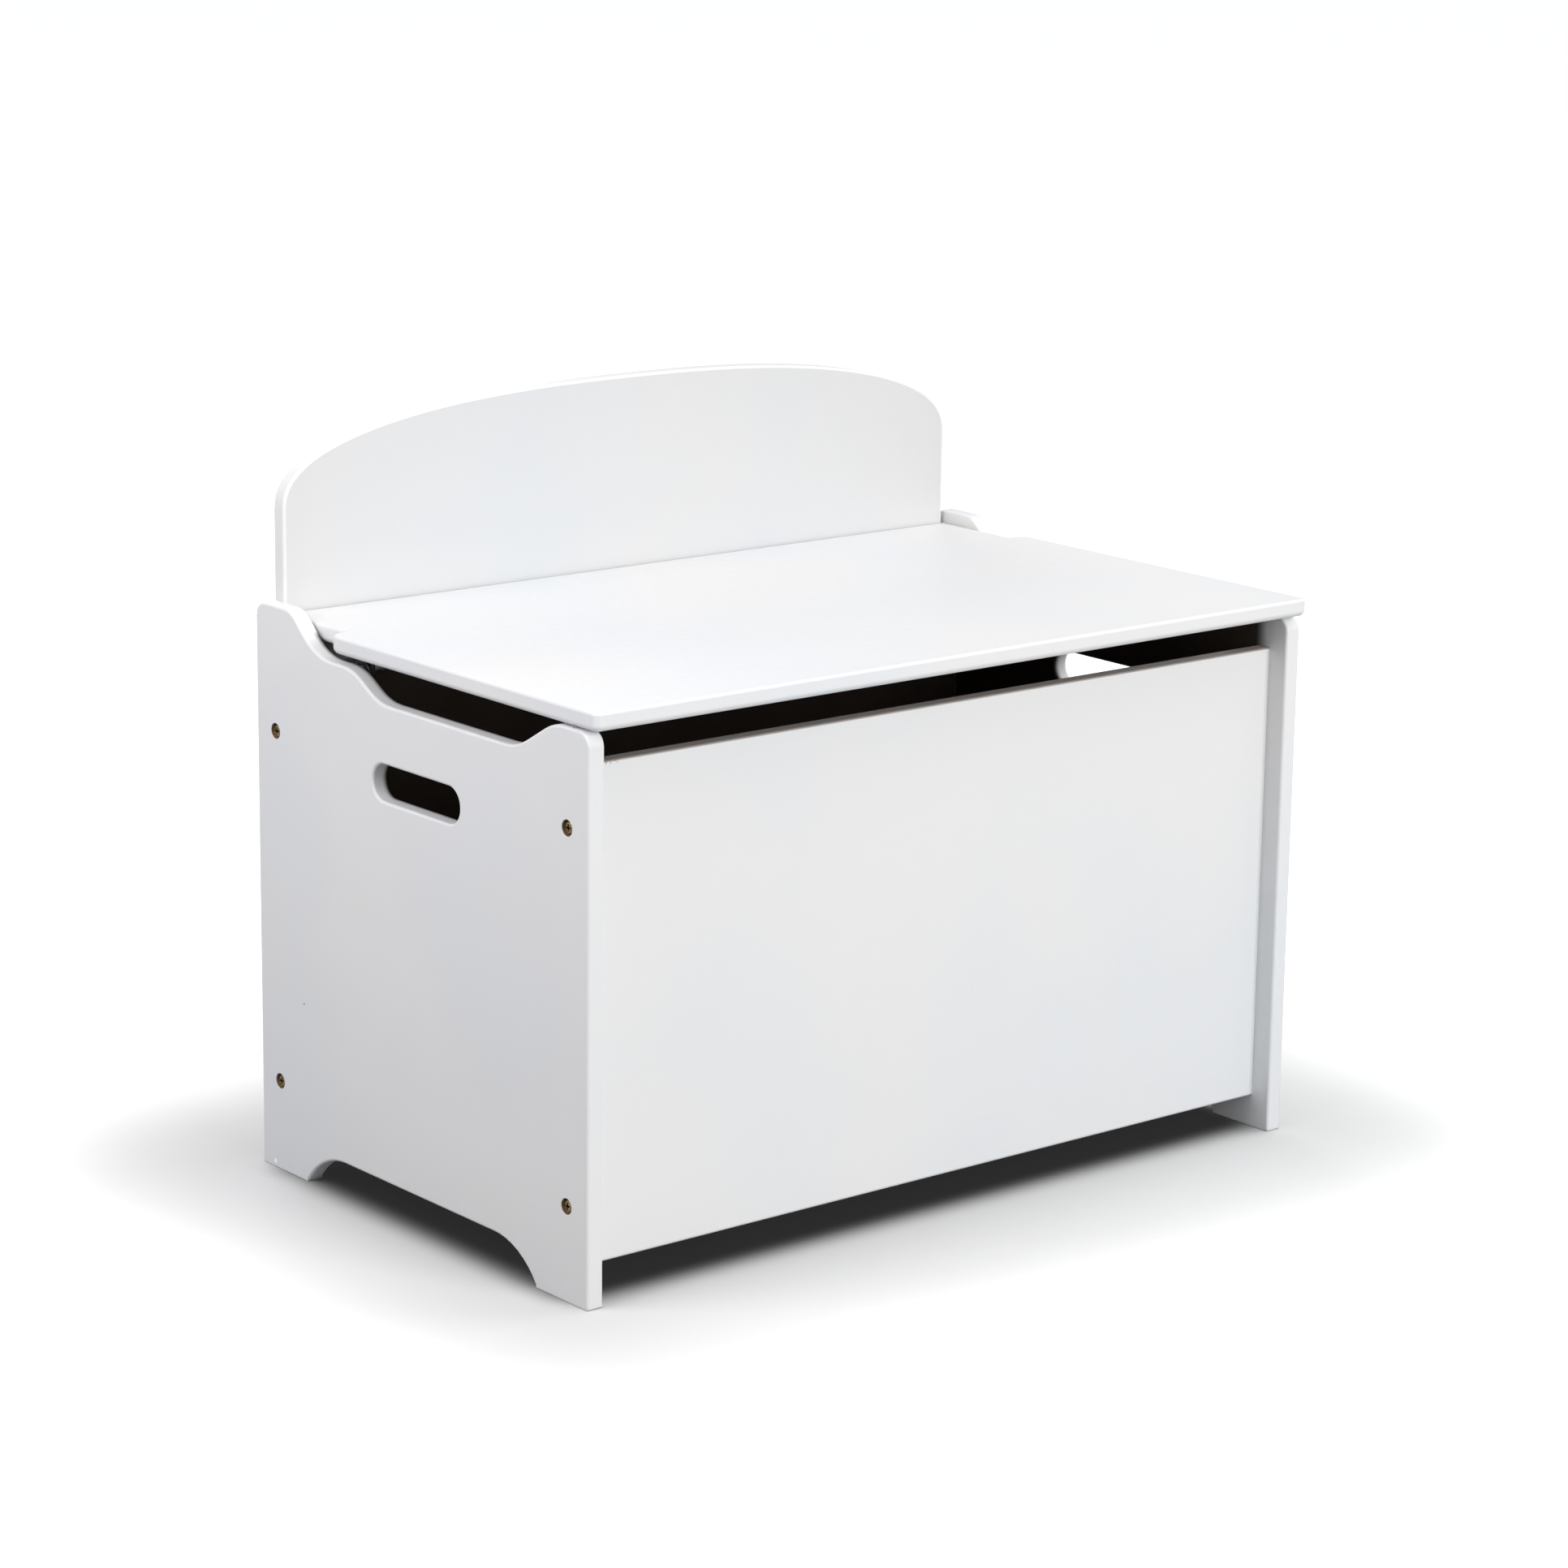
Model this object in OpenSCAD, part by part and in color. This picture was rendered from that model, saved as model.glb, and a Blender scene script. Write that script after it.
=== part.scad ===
// Wooden toy box with a hinged seat lid and an arched backrest.
// X runs along the length, the front faces -Y, and Z = 0 is the floor.
// The origin is the centre of the whole outline on the floor.

/* [Overall size] */
// Length over the two end panels
length = 596.9; // [480:0.1:760]
// Depth from the front edge of the lid to the back edges of the end panels
depth = 368.3; // [300:0.1:460]
// Height of the top of the seat lid
seat_height = 374.65; // [310:0.05:460]
// Height of the top of the backrest
overall_height = 507; // [480:0.5:640]

/* [Boards] */
// Thickness of the end panels, the front panel and the backrest
panel_t = 12; // [10:0.5:18]
// Thickness of the back panel, which carries the backrest
back_t = 16; // [12:0.5:20]
// Thickness of the seat lid
lid_t = 12; // [12:0.5:18]
// Thickness of the floor board
floor_t = 5; // [3:0.5:8]

/* [End panels] */
// How far the lid overhangs the front edges of the end panels
lid_overhang = 6.3; // [0:0.1:20]
// Height of the rear ears above the seat
ear_rise = 8.4; // [6:0.1:20]
// Length of the level top of an ear, up to its slope
ear_len = 41; // [36:0.5:50]
// Slope of the front of an ear in degrees
ear_slope = 42; // [36:1:50]
// Distance from the back edge to the front of the shoulder
shoulder_len = 111; // [102:1:116]
// Drop from the underside of the lid to the shoulder
shoulder_drop = 5.8; // [5:0.1:9]
// Drop from the underside of the lid to the bottom of the side scoop
scoop_drop = 23; // [18:0.5:30]
// Slope at both ends of the side scoop in degrees
scoop_slope = 30; // [24:1:36]
// Length of the front horn's top
horn_len = 36.5; // [32:0.5:44]
// Radius of the outer corners of the panel
corner_r = 10; // [4:0.5:12]
// Length of each foot along the floor
foot_len = 53; // [40:1:70]
// Height of the arch between the feet
arch_h = 24; // [16:0.5:28]
// Slope of the arch where it leaves the floor in degrees
arch_slope = 55; // [45:1:65]
// Length of the handle slot
handle_len = 95; // [80:1:120]
// Height of the handle slot
handle_h = 24; // [22:0.5:30]
// Drop from the bottom of the side scoop to the middle of the handle slot
handle_drop = 50.5; // [40:0.5:60]

/* [Front, back and floor] */
// Setback of the front panel from the front edges of the end panels
front_setback = 16; // [6:0.5:24]
// Height of the bottom edges of the front and back panels
panel_bottom = 22.5; // [15:0.5:40]
// Finger gap between the front panel and the underside of the lid
finger_gap = 24; // [22:0.5:32]
// Height of the floor groove above the panels' bottom edges
groove_up = 12; // [8:0.5:20]
// Depth of the floor groove
groove_depth = 5; // [3:0.5:6]

/* [Backrest] */
// Gap between the backrest and each ear
backrest_gap = 2.7; // [1:0.1:6]
// Height of the arched part of the backrest
arch_rise = 66; // [40:1:80]
// Fullness of the arch, where 2 is an ellipse
arch_power = 2.4; // [2:0.1:3]
// Overlap of the backrest on the back panel
backrest_lap = 100; // [80:1:140]

/* [Lid and hinge] */
// Distance from the back edge to the step where the lid widens
step_back = 84; // [80:1:96]
// Gap between the narrow rear part of the lid and each ear
lid_side_gap = 2; // [1.5:0.1:4]
// Gap between the lid's rear edge and the backrest
lid_rear_gap = 1.5; // [1.4:0.1:4]
// Distance of the hinge axis in front of the lid's rear edge
hinge_inset = 20; // [18:0.5:24]
// Diameter of the hinge pins
pin_d = 6; // [4:0.1:8]
// Wall of the nylon hinge bushes
bush_wall = 1.45; // [1.2:0.05:2.5]
// Radial running clearance of the pins in their bushes
pin_clearance = 0.05; // [0.02:0.01:0.1]
// Depth of the bush holes in the ears
bush_depth = 8.5; // [6:0.1:9]
// Length of each pin inside the lid
pin_in_lid = 24; // [15:1:40]
// Thickness of the lid bumpers
bumper_t = 1; // [0.8:0.1:2]

/* [Fasteners] */
// Diameter of the counterbores for the end panel screws
counterbore_d = 10.4; // [9.5:0.1:12]
// Depth of those counterbores
counterbore_depth = 3.6; // [2:0.1:5]
// Head diameter of the end panel screws
screw_head_d = 8.8; // [7:0.1:9.4]
// Shank diameter of the end panel screws
screw_d = 4; // [3:0.1:5]
// Length of the end panel screws under the head
screw_len = 34; // [28:1:40]
// Distance of the screws from the front panel's top and bottom edges
screw_margin = 39; // [28:0.5:50]
// Diameter of the wooden dowels
dowel_d = 6; // [5:0.5:7]
// Length of the wooden dowels
dowel_len = 28; // [20:1:32]

/* [Lid stay] */
// Distance from the hinge axis to both ends of the stay
stay_reach = 70; // [62:0.5:74]
// Drop of the stay's upper pivot below the underside of the lid
stay_drop = 12.5; // [11:0.5:16]
// Angle between the two ends of the stay when the lid is shut
stay_shut_angle = 18; // [17:0.5:20]
// Opening angle of the lid
lid_open_angle = 95; // [90:1:95]
// Width of the stay arm
arm_w = 16; // [14:0.5:18]
// Thickness of the stay arm
arm_t = 2; // [1.5:0.1:2.5]
// Diameter of the stay's stud and pivot
stud_d = 6; // [5:0.1:7]

/* [Hidden] */
$fn = 64;
eps = 0.5;               // overshoot of a cut past the face it opens

// Clearances
fit_gap = 0.1;           // radial room round a dowel or a screw shank
floor_gap = 0.3;         // room round the floor board in its grooves
stay_gap = 0.3;          // side room on each face of the stay arm
slot_gap = 0.4;          // room between the stud and the sides of the arm's slot
lid_rest_gap = 0.05;     // daylight between a bumper and the shut lid
bush_flange_gap = 0.6;   // daylight between a bush flange and the lid

// Planes along X
half_l = length / 2;
inner_x = half_l - panel_t;
narrow_x = inner_x - lid_side_gap;
backrest_x = inner_x - backrest_gap;
stay_face_x = -inner_x;

// Planes along Y
back_y = depth / 2;
lid_front_y = -depth / 2;
panel_front_y = lid_front_y + lid_overhang;
front_face_y = panel_front_y + front_setback;
front_inner_y = front_face_y + panel_t;
backrest_front_y = back_y - panel_t;
back_inner_y = backrest_front_y - back_t;
lid_rear_y = backrest_front_y - lid_rear_gap;
hinge_y = lid_rear_y - hinge_inset;
step_y = back_y - step_back;
screw_setback = front_setback + panel_t / 2;

// Planes along Z
lid_under = seat_height - lid_t;
hinge_z = seat_height - lid_t / 2;
ear_z = seat_height + ear_rise;
shoulder_z = lid_under - shoulder_drop;
scoop_z = lid_under - scoop_drop;
horn_z = lid_under - bumper_t - lid_rest_gap;
panel_top = lid_under - finger_gap;
groove_z = panel_bottom + groove_up;
floor_z = groove_z + floor_gap / 2;
handle_y = (panel_front_y + back_y) / 2;
handle_z = scoop_z - handle_drop;
backrest_bottom = panel_top - backrest_lap;

// Screw and dowel rows
screw_rows = [panel_bottom + screw_margin, panel_top - screw_margin];
screw_cols = [panel_front_y + screw_setback, back_y - screw_setback];
dowel_cols = [front_face_y + panel_t / 2, back_inner_y + back_t / 2];
row_step = (screw_rows[1] - screw_rows[0]) / 3;
dowel_rows = [screw_rows[0] + row_step, screw_rows[1] - row_step];
dowel_in_end = panel_t - 4;
screw_head_h = 2.6;
recess_w = 1.2;
recess_len = 4.6;
recess_depth = 1.6;

// Backrest screws
back_screw_head_d = 8;
back_screw_d = 4;
back_screw_len = panel_t + back_t - 4;
back_screw_rows = [backrest_bottom + 25, panel_top - 25];
back_screw_cols = [-0.75 * backrest_x, 0, 0.75 * backrest_x];

// Hinge
bush_r = pin_d / 2 + pin_clearance + bush_wall;
bush_flange_r = bush_r + 2.5;
bush_flange_t = lid_side_gap - bush_flange_gap;
pin_end_gap = 0.5;

// Bumpers
bumper_d = 8;
bumper_y = panel_front_y + horn_len / 2;

// Lid stay: both ends lie stay_reach from the hinge axis, so the arm turns half as far as the lid
stay_down = lid_t / 2 + stay_drop;
stay_tilt = asin(stay_down / stay_reach);
pivot_y = hinge_y - stay_reach * cos(stay_tilt);
pivot_z = hinge_z - stay_down;
stud_angle = stay_tilt + stay_shut_angle;
stud_y = hinge_y - stay_reach * cos(stud_angle);
stud_z = hinge_z - stay_reach * sin(stud_angle);
arm_tilt = stay_tilt + stay_shut_angle / 2;
stay_span_shut = 2 * stay_reach * sin(stay_shut_angle / 2);
stay_span_open = 2 * stay_reach * sin((stay_shut_angle + lid_open_angle) / 2);
slot_r = stud_d / 2 + slot_gap;
slot_from = stay_span_shut - 1;
slot_to = stay_span_open + 1;
plate_t = 2;
washer_t = 1;
plate_x = stay_face_x + plate_t;
washer_x = plate_x + washer_t;
arm_x = washer_x + stay_gap;
head_x = arm_x + arm_t + stay_gap;
head_t = 1.5;
bracket_t = 2;
bracket_len = 28;
bracket_w = 20;
plate_w = 16;
plate_above = 8;
plate_below = 34;
plate_screw_drops = [14, 26];
small_screw_d = 3;
small_screw_head_d = 6;
small_screw_head_h = 1.8;
bracket_screw_len = 9;
plate_screw_len = 9;

// Point on the fillet of radius r at vertex b of the path a, b, c
function unit(v) = v / norm(v);
function cross_z(u, v) = u[0] * v[1] - u[1] * v[0];
function fillet(a, b, c, r) =
    let (
        u = unit([a[0] - b[0], a[1] - b[1]]),
        v = unit([c[0] - b[0], c[1] - b[1]]),
        half = acos(u * v) / 2,
        start = [b[0], b[1]] + u * r / tan(half),
        centre = [b[0], b[1]] + unit(u + v) * r / sin(half),
        first = atan2(start[1] - centre[1], start[0] - centre[0]),
        sweep = (180 - 2 * half) * (cross_z(u, v) > 0 ? -1 : 1),
        steps = max(3, ceil(abs(sweep) / 7.5))
    )
    r <= 0
        ? [[b[0], b[1]]]
        : [for (i = [0:steps]) centre + r * [cos(first + sweep * i / steps), sin(first + sweep * i / steps)]];

// Closed outline through corners given as [x, y, radius]
function rounded(corners) =
    let (n = len(corners))
    [for (i = [0:n - 1]) each fillet(corners[(i + n - 1) % n], corners[i], corners[(i + 1) % n], corners[i][2])];

// Outline of an end panel in the Y-Z plane
ear_run = (ear_z - shoulder_z) / tan(ear_slope);
scoop_run = (shoulder_z - scoop_z) / tan(scoop_slope);
horn_run = (horn_z - scoop_z) / tan(scoop_slope);
arch_run = arch_h / tan(arch_slope);
arch_r = (arch_h / sin(arch_slope) - 1) / tan(arch_slope / 2);
ear_front_y = back_y - ear_len;
shoulder_front_y = back_y - shoulder_len;
horn_back_y = panel_front_y + horn_len;
end_outline = rounded([
    [panel_front_y, 0, 1.5],
    [panel_front_y, horn_z, corner_r],
    [horn_back_y, horn_z, 36],
    [horn_back_y + horn_run, scoop_z, 44],
    [shoulder_front_y - scoop_run, scoop_z, 44],
    [shoulder_front_y, shoulder_z, 44],
    [ear_front_y - ear_run, shoulder_z, 46],
    [ear_front_y, ear_z, 20],
    [back_y, ear_z, corner_r],
    [back_y, 0, 1.5],
    [back_y - foot_len, 0, 0],
    [back_y - foot_len - arch_run, arch_h, arch_r],
    [panel_front_y + foot_len + arch_run, arch_h, arch_r],
    [panel_front_y + foot_len, 0, 0]
]);

// Plan outline of the lid
lid_outline = rounded([
    [-half_l, lid_front_y, 5],
    [half_l, lid_front_y, 5],
    [half_l, step_y, 10],
    [narrow_x, step_y, 2],
    [narrow_x, lid_rear_y, 1],
    [-narrow_x, lid_rear_y, 1],
    [-narrow_x, step_y, 2],
    [-half_l, step_y, 10]
]);

// Outline of the backrest in the X-Z plane
arch_steps = 60;
arch_base = overall_height - arch_rise;
function arch_point(t) = [
    backrest_x * sign(cos(t)) * pow(abs(cos(t)), 2 / arch_power),
    arch_base + arch_rise * pow(sin(t), 2 / arch_power)
];
backrest_outline = [
    [-backrest_x, backrest_bottom],
    [backrest_x, backrest_bottom],
    for (i = [0:arch_steps]) arch_point(180 * i / arch_steps)
];

// Places an outline drawn in Y-Z so that it runs from x_from to x_from + thickness
module slab_x(x_from, thickness) {
    translate([x_from, 0, 0]) rotate([90, 0, 90]) linear_extrude(thickness) children();
}

// Cylinder along +X that starts at [x, y, z]
module rod_x(x, y, z, d, len) {
    translate([x, y, z]) rotate([0, 90, 0]) cylinder(d = d, h = len);
}

// Round-ended hole along X, centred on [y, z]
module slot_x(x, y, z, len, h, through) {
    half = (len - h) / 2;
    for (s = [-1, 1]) rod_x(x, y + s * half, z, h, through);
    translate([x, y - half, z - h / 2]) cube([through, 2 * half, h]);
}

// Copies its children on both ends of the box
module both_ends() {
    for (s = [0, 1]) mirror([s, 0, 0]) children();
}

// Cross recess cut into a screw head whose top is at z = 0
module cross_recess(size) {
    for (a = [0, 90]) rotate(a)
        translate([-size / 2, -recess_w / 2, -recess_depth]) cube([size, recess_w, recess_depth + eps]);
}

// Pan head screw: the underside of the head is at z = 0 and the shank points down
module pan_screw(head_d, head_h, shank_d, len, recess) {
    tip = shank_d * 0.8;
    difference() {
        rotate_extrude() polygon([
            [0, -len], [shank_d / 2, tip - len], [shank_d / 2, 0], [head_d / 2, 0],
            [head_d / 2, head_h * 0.45], [head_d * 0.4, head_h * 0.85], [head_d * 0.2, head_h], [0, head_h]
        ]);
        translate([0, 0, head_h]) cross_recess(recess);
    }
}

// Countersunk screw: the flat top of the head is at z = 0 and the shank points down
module flat_screw(head_d, shank_d, len, recess) {
    cone = (head_d - shank_d) / 2;
    tip = shank_d * 0.8;
    difference() {
        rotate_extrude() polygon([
            [0, -len], [shank_d / 2, tip - len], [shank_d / 2, -cone - 0.4], [head_d / 2, -0.4],
            [head_d / 2, 0], [0, 0]
        ]);
        cross_recess(recess);
    }
}

// Hole for a countersunk screw whose head top is at z = 0
module flat_screw_hole(head_d, shank_d, len) {
    cone = (head_d - shank_d) / 2;
    rotate_extrude() polygon([
        [0, -len], [shank_d / 2 + fit_gap, -len], [shank_d / 2 + fit_gap, -cone - 0.4],
        [head_d / 2 + fit_gap, -0.4], [head_d / 2 + fit_gap, eps], [0, eps]
    ]);
}

// Left end panel; the right one is its mirror image
module end_panel() {
    difference() {
        slab_x(-half_l, panel_t) polygon(end_outline);
        slot_x(-half_l - eps, handle_y, handle_z, handle_len, handle_h, panel_t + 2 * eps);
        for (y = screw_cols, z = screw_rows) {
            rod_x(-half_l - eps, y, z, counterbore_d, counterbore_depth + eps);
            rod_x(-half_l, y, z, screw_d + 2 * fit_gap, panel_t + eps);
        }
        for (y = dowel_cols, z = dowel_rows)
            rod_x(-inner_x - dowel_in_end, y, z, dowel_d + 2 * fit_gap, dowel_in_end + eps);
        rod_x(-inner_x - bush_depth, hinge_y, hinge_z, 2 * bush_r, bush_depth + eps);
        translate([-inner_x - groove_depth, front_inner_y - groove_depth, groove_z])
            cube([groove_depth + eps, back_inner_y - front_inner_y + 2 * groove_depth, floor_t + floor_gap]);
    }
}

module left_end_panel() {
    color("whitesmoke") difference() {
        end_panel();
        for (drop = plate_screw_drops)
            rod_x(stay_face_x - plate_screw_len + plate_t, stud_y, stud_z - drop,
                  small_screw_d + 2 * fit_gap, plate_screw_len);
    }
}

module right_end_panel() {
    color("whitesmoke") mirror([1, 0, 0]) end_panel();
}

// Board between the end panels with a floor groove on the side given by groove_side
module cross_board(face_y, thickness, groove_side, top) {
    groove_y = groove_side > 0 ? face_y + thickness - groove_depth : face_y - eps;
    difference() {
        translate([-inner_x, face_y, panel_bottom])
            cube([2 * inner_x, thickness, top - panel_bottom]);
        translate([-inner_x - eps, groove_y, groove_z])
            cube([2 * (inner_x + eps), groove_depth + eps, floor_t + floor_gap]);
    }
}

// Screw and dowel holes in both ends of a cross board
module end_holes(screw_y, dowel_y) {
    both_ends() {
        for (z = screw_rows)
            rod_x(-inner_x - eps, screw_y, z, screw_d + 2 * fit_gap, screw_len);
        for (z = dowel_rows)
            rod_x(-inner_x - eps, dowel_y, z, dowel_d + 2 * fit_gap, dowel_len - dowel_in_end + 1.5);
    }
}

module front_panel() {
    color("white") difference() {
        cross_board(front_face_y, panel_t, 1, panel_top);
        end_holes(screw_cols[0], dowel_cols[0]);
    }
}

module back_panel() {
    color("white") difference() {
        cross_board(back_inner_y, back_t, -1, panel_top);
        end_holes(screw_cols[1], dowel_cols[1]);
        for (x = back_screw_cols, z = back_screw_rows)
            translate([x, backrest_front_y + eps, z]) rotate([90, 0, 0])
                cylinder(d = back_screw_d + 2 * fit_gap, h = back_screw_len - panel_t + 1);
    }
}

module floor_board() {
    reach = groove_depth - floor_gap;
    color("white") translate([-inner_x - reach, front_inner_y - reach, floor_z])
        cube([2 * (inner_x + reach), back_inner_y - front_inner_y + 2 * reach, floor_t]);
}

module backrest() {
    color("white") difference() {
        translate([0, back_y, 0]) rotate([90, 0, 0]) linear_extrude(panel_t) polygon(backrest_outline);
        for (x = back_screw_cols, z = back_screw_rows)
            translate([x, back_y, z]) rotate([-90, 0, 0])
                flat_screw_hole(back_screw_head_d, back_screw_d, panel_t + eps);
    }
}

module backrest_screws() {
    color("goldenrod")
        for (x = back_screw_cols, z = back_screw_rows)
            translate([x, back_y, z]) rotate([-90, 0, 0])
                flat_screw(back_screw_head_d, back_screw_d, back_screw_len, 4);
}

module seat_lid() {
    color("white") difference() {
        translate([0, 0, lid_under]) linear_extrude(lid_t) polygon(lid_outline);
        both_ends() rod_x(-narrow_x - eps, hinge_y, hinge_z, pin_d, pin_in_lid + eps);
        for (s = [-1, 1])
            translate([head_x + bracket_w * 0.6, pivot_y + s * bracket_len / 4, lid_under - eps])
                cylinder(d = small_screw_d + 2 * fit_gap, h = bracket_screw_len - bracket_t + 2 * eps);
    }
}

// Pin from inside the lid into the left ear
module hinge_pin() {
    chamfer = 0.6;
    r = pin_d / 2;
    len = pin_in_lid + lid_side_gap + bush_depth - pin_end_gap;
    color("silver") translate([pin_in_lid - narrow_x, hinge_y, hinge_z]) rotate([0, -90, 0])
        rotate_extrude() polygon([
            [0, 0], [r, 0], [r, len - chamfer], [r - chamfer, len], [0, len]
        ]);
}

// Flanged bush in the left ear
module hinge_bush() {
    bore_r = pin_d / 2 + pin_clearance;
    color("ivory") translate([-inner_x - bush_depth, hinge_y, hinge_z]) rotate([0, 90, 0])
        rotate_extrude() polygon([
            [bore_r, 0], [bush_r, 0], [bush_r, bush_depth], [bush_flange_r, bush_depth],
            [bush_flange_r, bush_depth + bush_flange_t], [bore_r, bush_depth + bush_flange_t]
        ]);
}

module hinge_pin_left() { hinge_pin(); }
module hinge_pin_right() { mirror([1, 0, 0]) hinge_pin(); }
module hinge_bush_left() { hinge_bush(); }
module hinge_bush_right() { mirror([1, 0, 0]) hinge_bush(); }

module lid_bumpers() {
    color("gainsboro") both_ends()
        translate([panel_t / 2 - half_l, bumper_y, horn_z]) cylinder(d = bumper_d, h = bumper_t);
}

// Four screws through the left end panel
module end_screws() {
    color("darkgoldenrod")
        for (y = screw_cols, z = screw_rows)
            translate([counterbore_depth - half_l, y, z]) rotate([0, -90, 0])
                pan_screw(screw_head_d, screw_head_h, screw_d, screw_len, recess_len);
}

module end_screws_left() { end_screws(); }
module end_screws_right() { mirror([1, 0, 0]) end_screws(); }

// Four dowels between the left end panel and the cross boards
module end_dowels() {
    color("burlywood")
        for (y = dowel_cols, z = dowel_rows)
            rod_x(-inner_x - dowel_in_end, y, z, dowel_d, dowel_len);
}

module end_dowels_left() { end_dowels(); }
module end_dowels_right() { mirror([1, 0, 0]) end_dowels(); }

// Slotted arm from its upper pivot down past the stud
module stay_arm() {
    arm_r = arm_w / 2;
    end_s = slot_to + slot_r + 4 - arm_r + 2;
    color("silver") translate([arm_x, pivot_y, pivot_z]) rotate([arm_tilt, 0, 0])
        difference() {
            union() {
                rod_x(0, 0, 0, arm_w, arm_t);
                rod_x(0, 0, -end_s, arm_w, arm_t);
                translate([0, -arm_r, -end_s]) cube([arm_t, arm_w, end_s]);
            }
            rod_x(-eps, 0, 0, stud_d + 2 * pin_clearance, arm_t + 2 * eps);
            for (s = [slot_from, slot_to]) rod_x(-eps, 0, -s, 2 * slot_r, arm_t + 2 * eps);
            translate([-eps, -slot_r, -slot_to]) cube([arm_t + 2 * eps, 2 * slot_r, slot_to - slot_from]);
        }
}

// Angle bracket under the lid that carries the arm's upper pivot
module stay_lid_bracket() {
    leg_r = arm_w / 2;
    color("silver") difference() {
        union() {
            translate([head_x, pivot_y - bracket_len / 2, lid_under - bracket_t])
                cube([bracket_w, bracket_len, bracket_t]);
            translate([head_x, pivot_y - leg_r, pivot_z])
                cube([bracket_t, arm_w, lid_under - pivot_z]);
            rod_x(head_x, pivot_y, pivot_z, arm_w, bracket_t);
        }
        rod_x(head_x - eps, pivot_y, pivot_z, stud_d, bracket_t + 2 * eps);
        for (s = [-1, 1])
            translate([head_x + bracket_w * 0.6, pivot_y + s * bracket_len / 4, lid_under - bracket_t - eps])
                cylinder(d = small_screw_d + 2 * fit_gap, h = bracket_t + 2 * eps);
    }
}

// Rivet through the arm and the bracket
module stay_pivot_rivet() {
    rivet_head_r = stud_d / 2 + 2;
    x_outer = arm_x - stay_gap - 1;
    x_inner = head_x + bracket_t;
    color("gray") {
        rod_x(x_outer, pivot_y, pivot_z, 2 * rivet_head_r, 1);
        rod_x(x_outer, pivot_y, pivot_z, stud_d, x_inner - x_outer + eps);
        rod_x(x_inner, pivot_y, pivot_z, 2 * rivet_head_r, head_t);
    }
}

module stay_bracket_screws() {
    color("silver")
        for (s = [-1, 1])
            translate([head_x + bracket_w * 0.6, pivot_y + s * bracket_len / 4, lid_under - bracket_t])
                rotate([180, 0, 0])
                    pan_screw(small_screw_head_d, small_screw_head_h, small_screw_d, bracket_screw_len, 3.4);
}

// Plate on the left end panel that carries the stud
module stay_wall_plate() {
    color("silver") difference() {
        translate([stay_face_x, stud_y - plate_w / 2, stud_z - plate_below])
            cube([plate_t, plate_w, plate_above + plate_below]);
        rod_x(stay_face_x - eps, stud_y, stud_z, stud_d, plate_t + 2 * eps);
        for (drop = plate_screw_drops)
            translate([plate_x, stud_y, stud_z - drop]) rotate([0, 90, 0])
                flat_screw_hole(small_screw_head_d, small_screw_d, plate_t + eps);
    }
}

module stay_stud() {
    color("gray") {
        rod_x(stay_face_x, stud_y, stud_z, stud_d, head_x - stay_face_x + head_t / 2);
        rod_x(head_x, stud_y, stud_z, stud_d + 5, head_t);
    }
}

module stay_washer() {
    color("ivory") difference() {
        rod_x(plate_x, stud_y, stud_z, stud_d + 6, washer_t);
        rod_x(plate_x - eps, stud_y, stud_z, stud_d + 2 * fit_gap, washer_t + 2 * eps);
    }
}

module stay_plate_screws() {
    color("silver")
        for (drop = plate_screw_drops)
            translate([plate_x, stud_y, stud_z - drop]) rotate([0, 90, 0])
                flat_screw(small_screw_head_d, small_screw_d, plate_screw_len, 3.4);
}

left_end_panel();
right_end_panel();
front_panel();
back_panel();
floor_board();
backrest();
seat_lid();
hinge_pin_left();
hinge_pin_right();
hinge_bush_left();
hinge_bush_right();
lid_bumpers();
end_screws_left();
end_screws_right();
end_dowels_left();
end_dowels_right();
backrest_screws();
stay_arm();
stay_lid_bracket();
stay_pivot_rivet();
stay_bracket_screws();
stay_wall_plate();
stay_stud();
stay_washer();
stay_plate_screws();
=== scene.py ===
"""Looks of the wooden toy box: painted boards, screws, lid stay, hinge, light and camera.

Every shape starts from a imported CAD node. A board is a copy of its node with rounded arrises and a
finer finish, and it stands for that node. Lengths are in metres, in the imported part's frame.
"""

import math

import bmesh
import bpy
from mathutils import Matrix, Vector


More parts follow.
